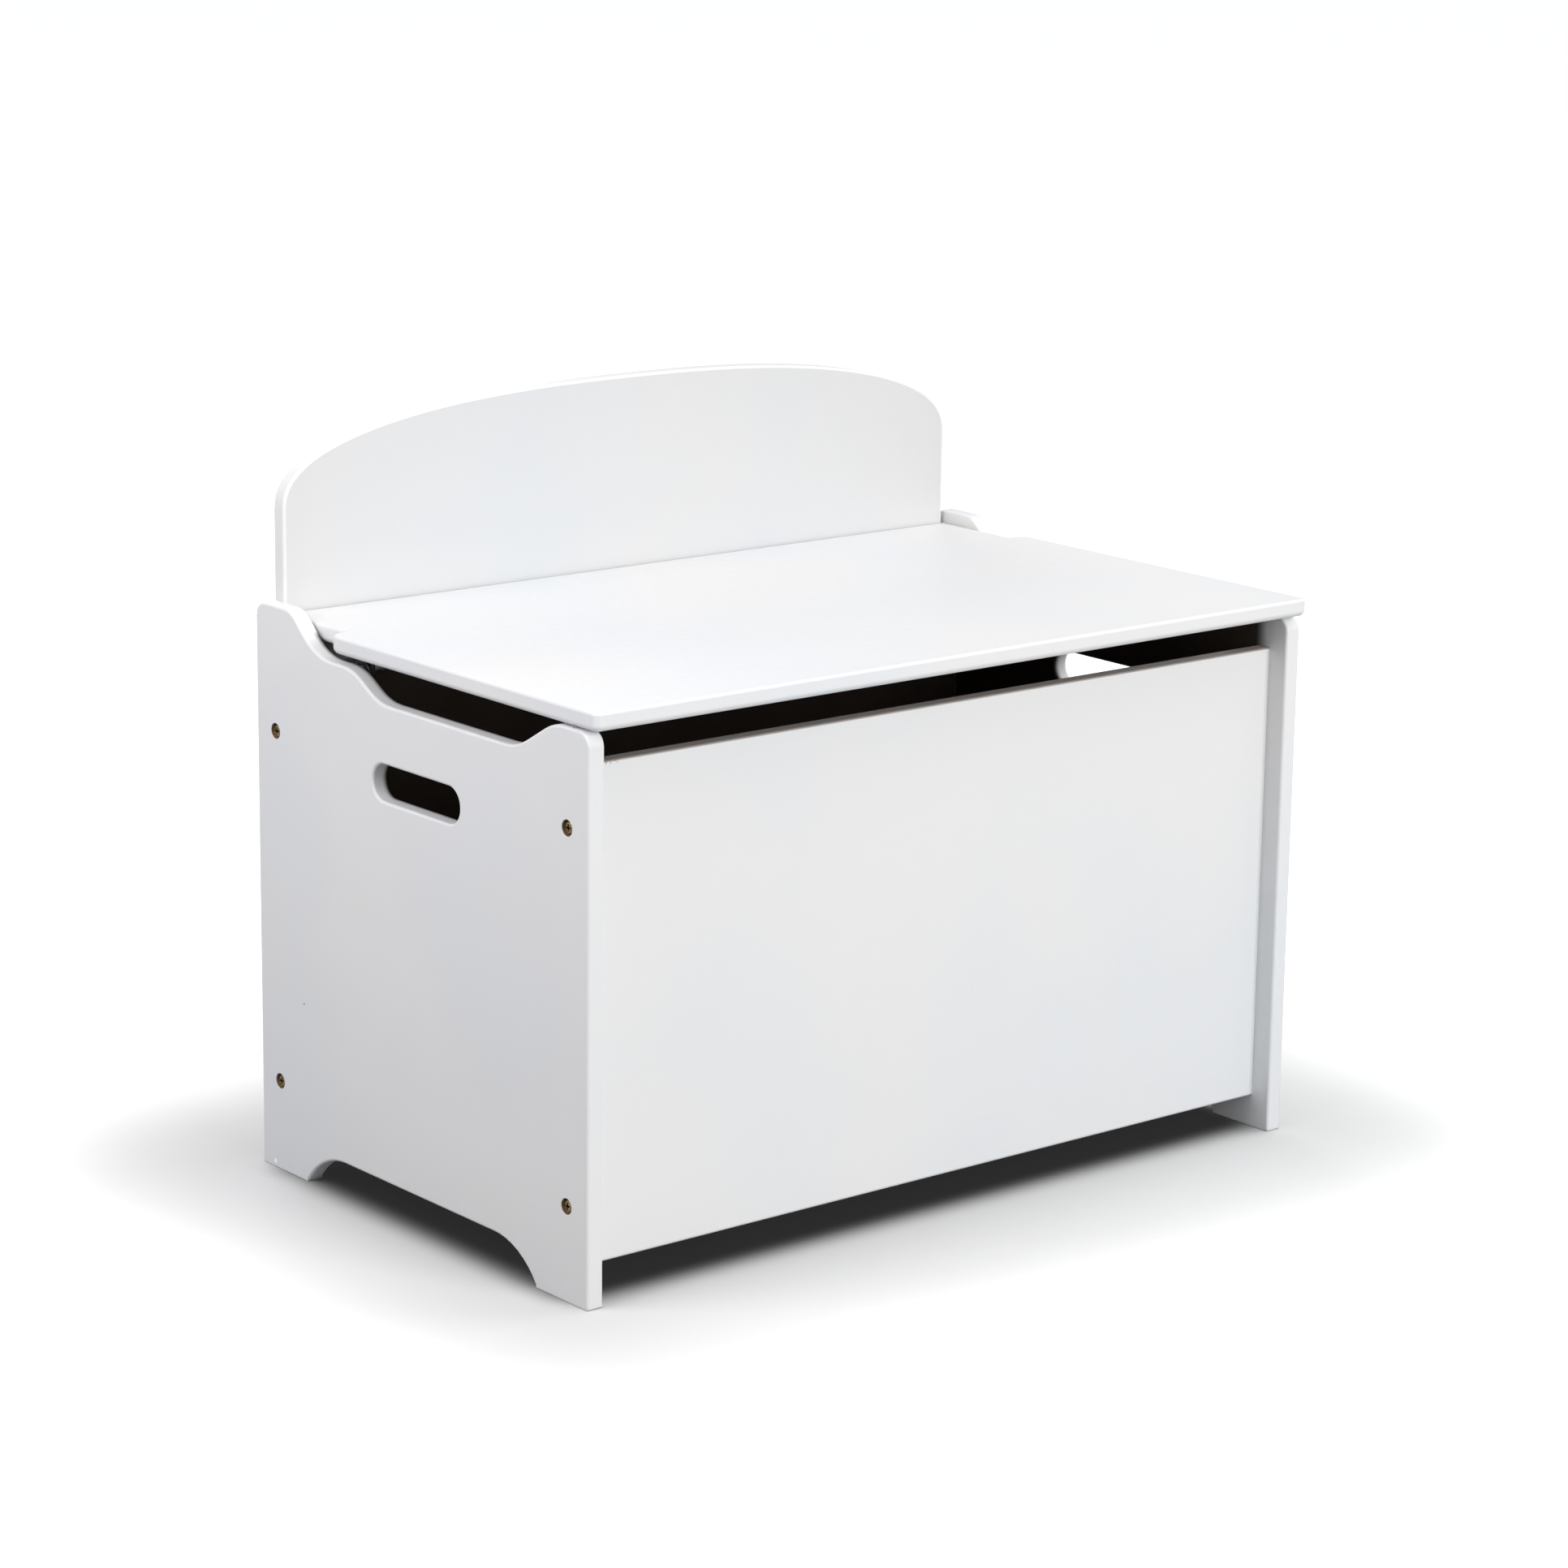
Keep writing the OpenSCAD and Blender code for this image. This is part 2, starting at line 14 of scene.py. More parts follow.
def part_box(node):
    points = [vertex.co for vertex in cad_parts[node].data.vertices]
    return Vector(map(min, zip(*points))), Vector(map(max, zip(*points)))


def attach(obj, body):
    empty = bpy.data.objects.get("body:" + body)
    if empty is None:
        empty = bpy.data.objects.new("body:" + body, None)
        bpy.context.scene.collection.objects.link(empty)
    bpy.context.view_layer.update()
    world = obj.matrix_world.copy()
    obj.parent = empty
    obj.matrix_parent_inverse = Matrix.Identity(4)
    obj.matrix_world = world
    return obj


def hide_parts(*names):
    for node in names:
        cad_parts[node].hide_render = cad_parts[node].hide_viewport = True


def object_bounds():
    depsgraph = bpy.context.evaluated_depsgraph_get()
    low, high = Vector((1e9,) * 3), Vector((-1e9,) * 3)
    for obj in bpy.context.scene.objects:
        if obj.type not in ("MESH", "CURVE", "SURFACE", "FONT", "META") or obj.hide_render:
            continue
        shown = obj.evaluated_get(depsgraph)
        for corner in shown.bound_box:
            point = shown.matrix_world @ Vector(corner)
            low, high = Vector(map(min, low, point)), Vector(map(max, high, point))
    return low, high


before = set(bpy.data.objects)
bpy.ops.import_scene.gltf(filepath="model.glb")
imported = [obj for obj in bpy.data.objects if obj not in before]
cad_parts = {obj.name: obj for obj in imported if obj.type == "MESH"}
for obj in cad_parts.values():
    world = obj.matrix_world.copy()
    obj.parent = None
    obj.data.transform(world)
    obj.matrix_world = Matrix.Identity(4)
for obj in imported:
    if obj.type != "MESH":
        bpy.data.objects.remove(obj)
CAD_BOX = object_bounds()

MM = 0.001

# ---- shape of the arrises -------------------------------------------------------------------
ARRIS = 2.0 * MM  # rounding of a board's free edges
FOOT_ARRIS = 0.8 * MM  # smaller, because the feet have small corners
FOOT_CORNER = 3 * MM  # up to this height above the floor
TIGHT_ARRIS = 0.3 * MM  # rounding where a board meets its neighbour
RIM = 0.35 * MM  # rounding of a drilled hole's rim
LID_TOP_ARRIS = 2.1 * MM
LID_UNDER_ARRIS = 4.2 * MM
LID_REAR_ARRIS = 0.9 * MM
LID_REAR_CORNER = 4 * MM  # this far from the lid's rear edge
ARRIS_STEPS = 4
SHORT_RUN = 0.6 * MM  # over which a wide arris narrows to a tight one
CORNER_SPREAD = 1.15  # an outline's corner is drawn this much wider than its arris
MOST_OF_SIDE = 0.4  # and takes at most this share of the sides beside it
MOST_OF_BEND = 0.85  # an arris stays this far below the radius of the bend it follows
NO_LIMIT = 1.0  # metres, wider than any arris

# ---- tolerances -----------------------------------------------------------------------------
SHARP_ANGLE = math.radians(28)
FLAT_ANGLE = math.radians(0.2)
STRAIGHT = 1e-4  # radians
WALL_SHARE = 0.98  # an edge wall spans at least this share of the board's thickness
WELD = 0.002 * MM
HARDWARE_WELD = 0.01 * MM
NEAR = 0.02 * MM

X, Y, Z = 0, 1, 2
ON_FACE, ON_EDGE, ON_RAW = 0, 1, 2  # places of a board's three materials

# ---- colours, linear ------------------------------------------------------------------------
PAINT = (0.735, 0.745, 0.752)
PAINT_WARM = (0.752, 0.742, 0.738)
PAINT_COOL = (0.712, 0.728, 0.748)
# thin paint over brown board, darkened as painted shade of the lid's overhang
PAINT_THIN_AND_SHADE = (0.30, 0.26, 0.235)
BACKREST_SHADE_TONE = 0.825  # painted shade: the backrest's paint is a little greyer than the other boards
FILLER = (0.60, 0.60, 0.60)
DARK_SPECK = (0.12, 0.10, 0.09)
WHITE_DRIP = (0.98, 0.98, 0.98)
RAW_LIGHT = (0.27, 0.175, 0.105)
RAW_DARK = (0.17, 0.105, 0.06)
# bare board inside the cavity, made far darker than the raw board: painted shade of the closed box's
# inside
BARE_IN_SHADE_PALE = (0.062, 0.044, 0.032)
BARE_IN_SHADE_DEEP = (0.030, 0.021, 0.015)
HARDBOARD_LIGHT = (0.17, 0.10, 0.055)
HARDBOARD_DARK = (0.105, 0.06, 0.032)
BRASS_BRIGHT = (0.66, 0.49, 0.24)
# near black with depth in the cross and round the head: tarnish and painted shade
BRASS_STAINED = (0.30, 0.21, 0.10)
BRASS_TARNISH_AND_SHADE = (0.06, 0.042, 0.024)
STEEL_DARK = (0.52, 0.52, 0.53)
STEEL_LIGHT = (0.72, 0.72, 0.72)
# the lid stay's zinc, coloured near black: painted shade where it sits under the lid
ZINC_SHADE_DARK = (0.10, 0.10, 0.105)
ZINC_SHADE_LIGHT = (0.20, 0.20, 0.215)
NYLON_DARK = (0.66, 0.64, 0.57)
NYLON_LIGHT = (0.74, 0.72, 0.66)
PAD_CLEAR = (0.80, 0.82, 0.82)
PAD_DUST = (0.55, 0.54, 0.52)
BEECH_DARK = (0.50, 0.31, 0.16)
BEECH_LIGHT = (0.62, 0.42, 0.24)
BEECH_FLECK = (0.30, 0.17, 0.08)

# ---- how the paint lies ---------------------------------------------------------------------
PAINT_IOR = 1.46
FACE_STIPPLE = 0.035 * MM
EDGE_STIPPLE = 0.015 * MM
SKIN = 0.5 * MM  # the cavity's bare faces, in painted shade, are taken this much larger than they are
SHARP_THIN = (SKIN, SKIN)  # how the paint thins out toward the cavity, along X and along Y
END_PAINTED_SHADOW_FADE = (4.5 * MM, 12 * MM)  # the same on the end panels, wider there: a painted shadow fading into the dark inside
OVERSPRAY = 7 * MM  # how raggedly the paint ends along the cavity's rim
FADE = 4 * MM
THIN_BAND = 1.5 * MM  # the paint is thin, and darkened as painted shade, this far down from the front panel's top
THIN_RUN = 1.1 * MM  # and gets so over this height
THIN_MOST = 0.9
CHIP_DEPTH = 0.12 * MM
WORN_IN = 13 * MM  # a worn spot on that edge, from the panel's left end
WORN_DEEP = 1 * MM
WORN_RADIUS = 16 * MM
END_PAINT_IN = 2 * MM  # the end panels are painted this far behind the front panel
FILLING_RADIUS = 2.6 * MM
FILLING_IN = 15 * MM  # filled nail holes in the lid, from the backrest's ends
FILLING_FRONT = 7 * MM  # and from its front
SPECK_BACK, SPECK_UP = 52 * MM, 122 * MM  # from the left end panel's rear edge and from the floor
SPECK_RADIUS = 1.0 * MM
DRIP_BACK, DRIP_UP = 15 * MM, 4 * MM
DRIP_RADIUS = 2.6 * MM


# ---- materials ------------------------------------------------------------------------------
class Shader:
    """One procedural material. Adds nodes, joins them and keeps the object coordinates at hand."""

    def __init__(self, name):
        self.material = bpy.data.materials.new(name)
        self.material.use_nodes = True
        self.tree = self.material.node_tree
        self.tree.nodes.clear()
        self.end = self.tree.nodes.new("ShaderNodeOutputMaterial")
        self.bsdf = self.tree.nodes.new("ShaderNodeBsdfPrincipled")
        self.join(self.bsdf.outputs["BSDF"], self.end.inputs["Surface"])
        self.coords = self.tree.nodes.new("ShaderNodeTexCoord")
        self.place = self.coords.outputs["Object"]
        self.axes = None

    def join(self, source, target):
        self.tree.links.new(source, target)

    def feed(self, node, socket, value):
        """Puts a number, a colour or another node's output on one socket."""
        target = node.inputs[socket]
        if isinstance(value, bpy.types.NodeSocket):
            self.join(value, target)
        elif isinstance(value, tuple) and target.type == "RGBA":
            target.default_value = (*value, 1.0)
        else:
            target.default_value = value

    def noise(self, scale, detail=2.0, roughness=0.5, stretch=None):
        """Noise from 0 to 1. Scale is in cycles per metre."""
        node = self.tree.nodes.new("ShaderNodeTexNoise")
        node.inputs["Scale"].default_value = scale
        node.inputs["Detail"].default_value = detail
        node.inputs["Roughness"].default_value = roughness
        source = self.place
        if stretch is not None:
            mapping = self.tree.nodes.new("ShaderNodeMapping")
            mapping.inputs["Scale"].default_value = stretch
            self.join(source, mapping.inputs["Vector"])
            source = mapping.outputs["Vector"]
        self.join(source, node.inputs["Vector"])
        return node.outputs["Fac"]

    def cells(self, scale):
        """Voronoi distance. Scale is in cells per metre."""
        node = self.tree.nodes.new("ShaderNodeTexVoronoi")
        node.inputs["Scale"].default_value = scale
        self.join(self.place, node.inputs["Vector"])
        return node.outputs["Distance"]

    def axis(self, index):
        """The object's own X, Y or Z, in metres."""
        if self.axes is None:
            self.axes = self.tree.nodes.new("ShaderNodeSeparateXYZ")
            self.join(self.place, self.axes.inputs["Vector"])
        return self.axes.outputs[index]

    def ramp(self, value, low, high, out_low=0.0, out_high=1.0):
        """Smooth step of value from low to high."""
        node = self.tree.nodes.new("ShaderNodeMapRange")
        node.interpolation_type = "SMOOTHSTEP"
        self.feed(node, "Value", value)
        node.inputs["From Min"].default_value = low
        node.inputs["From Max"].default_value = high
        node.inputs["To Min"].default_value = out_low
        node.inputs["To Max"].default_value = out_high
        return node.outputs["Result"]

    def calc(self, operation, first, second):
        """One arithmetic step on two numbers or outputs."""
        node = self.tree.nodes.new("ShaderNodeMath")
        node.operation = operation
        self.feed(node, 0, first)
        self.feed(node, 1, second)
        return node.outputs[0]

    def blend(self, amount, first, second):
        """first where amount is 0, second where it is 1."""
        node = self.tree.nodes.new("ShaderNodeMix")
        node.data_type = "RGBA"
        self.feed(node, 0, amount)
        self.feed(node, 6, first)
        self.feed(node, 7, second)
        return node.outputs[2]

    def pick(self, share, first, second):
        """Two surfaces mixed: the first where share is 0, the second where it is 1."""
        node = self.tree.nodes.new("ShaderNodeMixShader")
        self.join(share, node.inputs[0])
        self.join(first, node.inputs[1])
        self.join(second, node.inputs[2])
        return node.outputs[0]

    def near(self, point, radius):
        """1 at a point, falling to 0 at radius."""
        node = self.tree.nodes.new("ShaderNodeVectorMath")
        node.operation = "DISTANCE"
        self.join(self.place, node.inputs[0])
        node.inputs[1].default_value = point
        return self.ramp(node.outputs["Value"], 0.0, radius, 1.0, 0.0)

    def bump(self, height, distance, strength=1.0, under=None):
        """A relief of that depth in metres, on top of another one."""
        node = self.tree.nodes.new("ShaderNodeBump")
        node.inputs["Strength"].default_value = strength
        node.inputs["Distance"].default_value = distance
        self.join(height, node.inputs["Height"])
        if under is not None:
            self.join(under, node.inputs["Normal"])
        return node.outputs["Normal"]

    def set(self, **values):
        """Sockets of the surface by name, with spaces written as underscores."""
        for name, value in values.items():
            self.feed(self.bsdf, name.replace("_", " "), value)
        return self.material


def toned(colour, tone):
    return tuple(part * tone for part in colour)


def paint_colour(shader, tone):
    """White paint that is not quite even: broad warm and cool drifts and a fine speckle."""
    drift = shader.ramp(shader.noise(5.0, 2.0), 0.35, 0.65)
    speckle = shader.ramp(shader.noise(900.0, 2.0, 0.6), 0.35, 0.7)
    cool = shader.blend(drift, toned(PAINT_WARM, tone), toned(PAINT_COOL, tone))
    return shader.blend(shader.calc("MULTIPLY", speckle, 0.5), cool, toned(PAINT, tone))


def paint_relief(shader, depth):
    """Roller stipple about 1.5 mm across, over slow waves about 15 mm wide."""
    stipple = shader.noise(620.0, 2.0, 0.55)
    wave = shader.noise(60.0, 1.0)
    slow = shader.bump(wave, 0.10 * MM, 0.5)
    return shader.bump(stipple, depth, 1.0, slow)


def raw_colour(shader, dark=RAW_DARK, light=RAW_LIGHT):
    """Fibreboard: fine fibres and a slow drift."""
    fibres = shader.ramp(shader.noise(1300.0, 4.0, 0.7), 0.3, 0.7)
    drift = shader.ramp(shader.noise(22.0, 3.0), 0.3, 0.7)
    fine = shader.calc("MULTIPLY", fibres, 0.65)
    slow = shader.calc("MULTIPLY", drift, 0.35)
    return shader.blend(shader.calc("ADD", fine, slow), dark, light)


def bare_and_shade_share(shader, cavity, thin):
    """1 on the cavity's faces (bare board in painted shade), 0 on the painted outside, ragged along
    the rim.

    Toward the cavity the paint fades into that painted shade over the lengths in thin, along X and
    along Y.
    """
    low, high = cavity
    inside = None
    for index, run in zip((X, Y), thin):
        at = shader.axis(index)
        start, end = low[index] - SKIN, high[index] + SKIN
        past_low = shader.ramp(at, start - run, start)
        past_high = shader.ramp(at, end, end + run, 1.0, 0.0)
        both = shader.calc("MULTIPLY", past_low, past_high)
        inside = both if inside is None else shader.calc("MULTIPLY", inside, both)
    ragged = shader.calc("MULTIPLY", shader.noise(70.0, 5.0, 0.65), OVERSPRAY)
    height = shader.calc("ADD", shader.axis(Z), ragged)
    below = shader.ramp(height, high[Z] - FADE, high[Z], 1.0, 0.0)
    above = shader.ramp(shader.axis(Z), low[Z] - SKIN, low[Z] + SKIN)
    return shader.calc("MULTIPLY", shader.calc("MULTIPLY", inside, below), above)


def coat_colour(shader, tone, thin_and_shade_above, cavity, thin):
    """The paint's colour, and the share of bare board in painted shade, which is None without a
    cavity.

    Above the given height the paint is thin, the board shows through it, and it is darkened as
    painted shade.
    """
    colour = paint_colour(shader, tone)
    if thin_and_shade_above is not None:
        sheer_and_shade = shader.ramp(shader.axis(Z), thin_and_shade_above, thin_and_shade_above + THIN_RUN, 0.0, THIN_MOST)
        colour = shader.blend(sheer_and_shade, colour, PAINT_THIN_AND_SHADE)
    if cavity is None:
        return colour, None
    bare_and_shade = bare_and_shade_share(shader, cavity, thin)
    colour = shader.blend(bare_and_shade, colour, raw_colour(shader, BARE_IN_SHADE_DEEP, BARE_IN_SHADE_PALE))
    return colour, bare_and_shade


def painted_face(
    name, cavity=None, fillings=(), tone=1.0, thin_and_shade_above=None, thin=SHARP_THIN, specks=()
):
    """Rolled satin white paint. Bare board in painted shade shows in the cavity. Filled nail holes
    show faintly.
    """
    shader = Shader(name)
    colour, bare_and_shade = coat_colour(shader, tone, thin_and_shade_above, cavity, thin)
    relief = paint_relief(shader, FACE_STIPPLE)
    rough = shader.ramp(shader.noise(160.0, 3.0), 0.3, 0.7, 0.40, 0.50)
    if bare_and_shade is not None:
        rough = shader.calc("MAXIMUM", rough, shader.calc("MULTIPLY", bare_and_shade, 0.82))
    for point in fillings:
        spot = shader.near(point, FILLING_RADIUS)
        colour = shader.blend(shader.calc("MULTIPLY", spot, 0.35), colour, FILLER)
        relief = shader.bump(spot, -0.25 * MM, 0.8, relief)
    for point, radius, tint in specks:
        spot = shader.ramp(shader.near(point, radius), 0.1, 0.5)
        colour = shader.blend(spot, colour, tint)
        relief = shader.bump(spot, 0.2 * MM, 0.8, relief)
    return shader.set(Base_Color=colour, Roughness=rough, Normal=relief, IOR=PAINT_IOR)


def painted_arris(name, worn=(), thin_and_shade_above=None, cavity=None, thin=SHARP_THIN):
    """The paint on an edge: smoother, chipped here and there to brown board, more where worn."""
    shader = Shader(name)
    colour, _ = coat_colour(shader, 1.0, thin_and_shade_above, cavity, thin)
    relief = paint_relief(shader, EDGE_STIPPLE)
    chips = shader.ramp(shader.noise(420.0, 3.0, 0.6), 0.765, 0.785)
    for point, radius in worn:
        fine = shader.ramp(shader.noise(650.0, 3.0, 0.7), 0.56, 0.60)
        here = shader.calc("MULTIPLY", fine, shader.near(point, radius))
        chips = shader.calc("MAXIMUM", chips, shader.ramp(here, 0.25, 0.4))
    colour = shader.blend(chips, colour, raw_colour(shader))
    relief = shader.bump(chips, -CHIP_DEPTH, 0.8, relief)
    rough = shader.ramp(chips, 0.0, 1.0, 0.40, 0.85)
    return shader.set(Base_Color=colour, Roughness=rough, Normal=relief, IOR=PAINT_IOR)


def raw_board(name):
    """Bare fibreboard in drilled holes and grooves."""
    shader = Shader(name)
    colour = raw_colour(shader)
    relief = shader.bump(shader.noise(1500.0, 4.0, 0.7), 0.12 * MM)
    return shader.set(Base_Color=colour, Roughness=0.85, Normal=relief, IOR=1.4)


def hardboard(name):
    """Thin brown hardboard: smooth, mottled, with short darker fibres."""
    shader = Shader(name)
    mottle = shader.ramp(shader.noise(38.0, 5.0, 0.6), 0.3, 0.7)
    fibres = shader.ramp(shader.noise(420.0, 5.0, 0.7, (1.0, 0.25, 1.0)), 0.35, 0.65)
    both = shader.calc("MULTIPLY", shader.calc("ADD", mottle, fibres), 0.5)
    colour = shader.blend(both, HARDBOARD_DARK, HARDBOARD_LIGHT)
    relief = shader.bump(fibres, 0.05 * MM)
    rough = shader.ramp(mottle, 0.0, 1.0, 0.45, 0.62)
    return shader.set(Base_Color=colour, Roughness=rough, Normal=relief)


def plated_screw(name, index, top, inward):
    """Antiqued yellow plating, bright on the rubbed crown; dark and dull in the cross: tarnish and
    painted shade.

    The heads lie in the plane top of that axis, and inward is the sign of the way into the board.
    """
    shader = Shader(name)
    depth = shader.calc("MULTIPLY", shader.calc("SUBTRACT", shader.axis(index), top), inward)
    tarnish_and_shade = shader.ramp(depth, 0.15 * MM, 0.9 * MM)
    stain = shader.ramp(shader.noise(900.0, 4.0, 0.65), 0.42, 0.62)
    crown = shader.blend(stain, BRASS_BRIGHT, BRASS_STAINED)
    colour = shader.blend(tarnish_and_shade, crown, BRASS_TARNISH_AND_SHADE)
    relief = shader.bump(shader.noise(2600.0, 3.0, 0.6), 0.03 * MM)
    rough = shader.ramp(stain, 0.0, 1.0, 0.26, 0.46)
    return shader.set(Base_Color=colour, Roughness=rough, Normal=relief, Metallic=1.0)


def steel(name, dark, light, smooth, rough, grain, stretch=None):
    """Steel with rolling or turning marks and a patchy sheen, from smooth to rough."""
    shader = Shader(name)
    marks = shader.noise(grain, 4.0, 0.65, stretch)
    patches = shader.ramp(shader.cells(260.0), 0.1, 0.9)
    both = shader.calc("MULTIPLY", shader.calc("ADD", marks, patches), 0.5)
    colour = shader.blend(both, dark, light)
    relief = shader.bump(marks, 0.02 * MM)
    sheen = shader.ramp(both, 0.2, 0.8, smooth, rough)
    return shader.set(Base_Color=colour, Roughness=sheen, Normal=relief, Metallic=1.0)


def nylon(name):
    """Natural nylon: milky, slightly translucent, faintly uneven."""
    shader = Shader(name)
    clouds = shader.ramp(shader.noise(300.0, 3.0), 0.3, 0.7)
    colour = shader.blend(clouds, NYLON_DARK, NYLON_LIGHT)
    relief = shader.bump(shader.noise(1500.0, 2.0), 0.01 * MM)
    return shader.set(
        Base_Color=colour,
        Roughness=0.42,
        Normal=relief,
        Subsurface_Weight=0.15,
        Subsurface_Scale=1.0 * MM,
    )


def bumper_plastic(name):
    """A soft clear pad that has picked up a little dust."""
    shader = Shader(name)
    dust = shader.ramp(shader.noise(1200.0, 4.0, 0.7), 0.55, 0.75)
    colour = shader.blend(dust, PAD_CLEAR, PAD_DUST)
    rough = shader.ramp(dust, 0.0, 1.0, 0.12, 0.45)
    relief = shader.bump(shader.noise(500.0, 2.0), 0.02 * MM)
    return shader.set(
        Base_Color=colour, Roughness=rough, Normal=relief, Transmission_Weight=0.6, IOR=1.49
    )


def beech(name):
    """Turned beech: long pale grain with short dark flecks."""
    shader = Shader(name)
    grain = shader.ramp(shader.noise(260.0, 5.0, 0.6, (0.08, 1.0, 1.0)), 0.35, 0.65)
    flecks = shader.ramp(shader.noise(700.0, 2.0, 0.5, (0.15, 1.0, 1.0)), 0.62, 0.72)
    wood = shader.blend(grain, BEECH_DARK, BEECH_LIGHT)
    colour = shader.blend(flecks, wood, BEECH_FLECK)
    relief = shader.bump(grain, 0.05 * MM)
    return shader.set(Base_Color=colour, Roughness=0.6, Normal=relief)


# ---- meshes ---------------------------------------------------------------------------------
FACE, WALL, RECESS = "face", "wall", "recess"


def welded_copy(node, weld=WELD):
    """The node's mesh as a bmesh with shared corners and its flat triangles joined into faces."""
    mesh = bmesh.new()
    mesh.from_mesh(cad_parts[node].data)
    bmesh.ops.remove_doubles(mesh, verts=mesh.verts, dist=weld)
    bmesh.ops.dissolve_limit(
        mesh,
        angle_limit=FLAT_ANGLE,
        verts=mesh.verts,
        edges=mesh.edges,
    )
    mesh.normal_update()
    return mesh


def new_piece(node, data, materials, body):
    """An object from that mesh which rides on the body and stands for the node."""
    for material in materials:
        data.materials.append(material)
    piece = bpy.data.objects.new(node + "_finished", data)
    bpy.context.scene.collection.objects.link(piece)
    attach(piece, body)
    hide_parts(node)
    return piece


def kind_of(face, axis, low, high):
    """A board's flat face, its edge wall, or the inside of a hole or groove."""
    heights = [corner.co[axis] for corner in face.verts]
    spread = max(heights) - min(heights)
    if spread < NEAR and min(abs(heights[0] - low), abs(heights[0] - high)) < NEAR:
        return FACE
    if spread > WALL_SHARE * (high - low):
        return WALL
    return RECESS


def face_loops(kinds, axis, height, side):
    """Closed chains of corners round the flat face at that height, with the kind of face beyond.

    Seen along the axis the board lies on their left.
    """
    following = {}
    beyond = {}
    for face, kind in kinds.items():
        if kind != FACE or abs(face.verts[0].co[axis] - height) > NEAR:
            continue
        for corner in face.loops:
            other = corner.link_loop_radial_next.face
            if kinds[other] == FACE:
                continue
            start, end = corner.vert, corner.link_loop_next.vert
            following[start] = end
            beyond[start] = kinds[other]
    chains = []
    while following:
        start = next(iter(following))
        kind = beyond[start]
        chain = [start]
        corner = following.pop(start)
        while corner is not start:
            chain.append(corner)
            corner = following.pop(corner)
        if side < 0:
            chain.reverse()
        chains.append((kind, chain))
    return chains


def turn_at(before, point, after):
    """Signed turn of an outline at a point, in radians. Left is positive."""
    first, second = point - before, after - point
    return math.atan2(first.x * second.y - first.y * second.x, first.dot(second))


def round_corners(points, radius_at):
    """The outline with its sharp corners drawn as arcs, except where two boards meet."""
    made = []
    count = len(points)
    for index, point in enumerate(points):
        before, after = points[index - 1], points[(index + 1) % count]
        turn = turn_at(before, point, after)
        radius = radius_at(point)
        if abs(turn) < SHARP_ANGLE or radius <= TIGHT_ARRIS:
            made.append(point)
            continue
        slope = math.tan(abs(turn) / 2)
        room = MOST_OF_SIDE * min((point - before).length, (after - point).length)
        reach = min(CORNER_SPREAD * radius * slope, room)
        radius = reach / slope
        into = (point - before).normalized()
        left = Vector((-into.y, into.x)) * math.copysign(1.0, turn)
        centre = point - into * reach + left * radius
        for step in range(ARRIS_STEPS + 1):
            angle = abs(turn) * step / ARRIS_STEPS
            back, along = radius * math.cos(angle), radius * math.sin(angle)
            made.append(centre - left * back + into * along)
    return made


def with_radii(points, radius_at):
    """(point, rounding) along the outline. A wide arris narrows only just before a tight one."""
    count = len(points)
    edge_radius = []
    for index, point in enumerate(points):
        edge_radius.append(radius_at((point + points[(index + 1) % count]) / 2))
    made = []
    for index, point in enumerate(points):
        before, after = points[index - 1], points[(index + 1) % count]
        turn = turn_at(before, point, after)
        into, out = point - before, after - point
        allowed = NO_LIMIT
        if STRAIGHT < turn < SHARP_ANGLE:
            allowed = MOST_OF_BEND * (into.length + out.length) / 2 / turn
        wide_before, wide_after = edge_radius[index - 1], edge_radius[index]
        radius = min(wide_before, wide_after, allowed)
        if wide_before > radius + NEAR and into.length > 2 * SHORT_RUN:
            made.append((point - into.normalized() * SHORT_RUN, wide_before))
        made.append((point, radius))
        if wide_after > radius + NEAR and out.length > 2 * SHORT_RUN:
            made.append((point + out.normalized() * SHORT_RUN, wide_after))
    return made


def left_normals(points):
    """To the left at each point of a closed outline: the mitred offset, and the direction."""
    made = []
    count = len(points)
    for index, point in enumerate(points):
        into = (point - points[index - 1]).normalized()
        out = (points[(index + 1) % count] - point).normalized()
        both = Vector((-into.y - out.y, into.x + out.x))
        made.append((both / (1.0 + into.dot(out)), both.normalized()))
    return made


